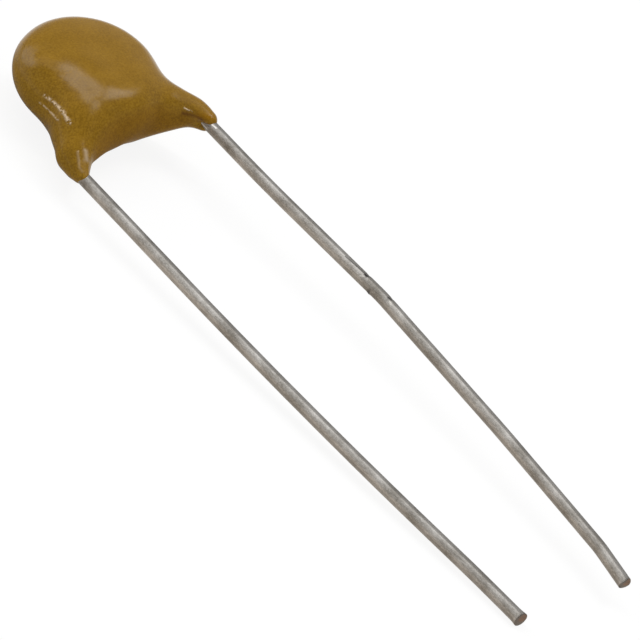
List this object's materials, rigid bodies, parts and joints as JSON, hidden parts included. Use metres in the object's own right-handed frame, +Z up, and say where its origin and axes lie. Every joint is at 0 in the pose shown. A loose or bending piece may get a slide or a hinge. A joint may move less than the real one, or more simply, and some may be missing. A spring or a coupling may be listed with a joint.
{
  "type": "ceramic disc capacitor",
  "caption": "Radial ceramic disc capacitor: a ceramic disc with soldered tinned wires, dipped in a hard brown coat that runs down onto both leads.",
  "frame": {"origin": "middle of the bounding box, on the table the part lies on", "axes": "+Z up from the table, out of the disc's front face; +Y along the leads from their free ends towards the disc; +X from the left lead to the right one"},
  "size_m": [0.0074, 0.0317, 0.0034],
  "materials": {
    "coat": "satin",
    "ceramic": "matte",
    "silver": "matte",
    "solder": "satin",
    "tinned_wire": "satin"
  },
  "bodies": {
    "root": {"coating": "coat", "ceramic_disc": "ceramic", "electrode_front": "silver", "electrode_back": "silver", "solder_front": "solder", "solder_back": "solder", "lead_left": "tinned_wire", "lead_right": "tinned_wire"}
  },
  "joints": []
}
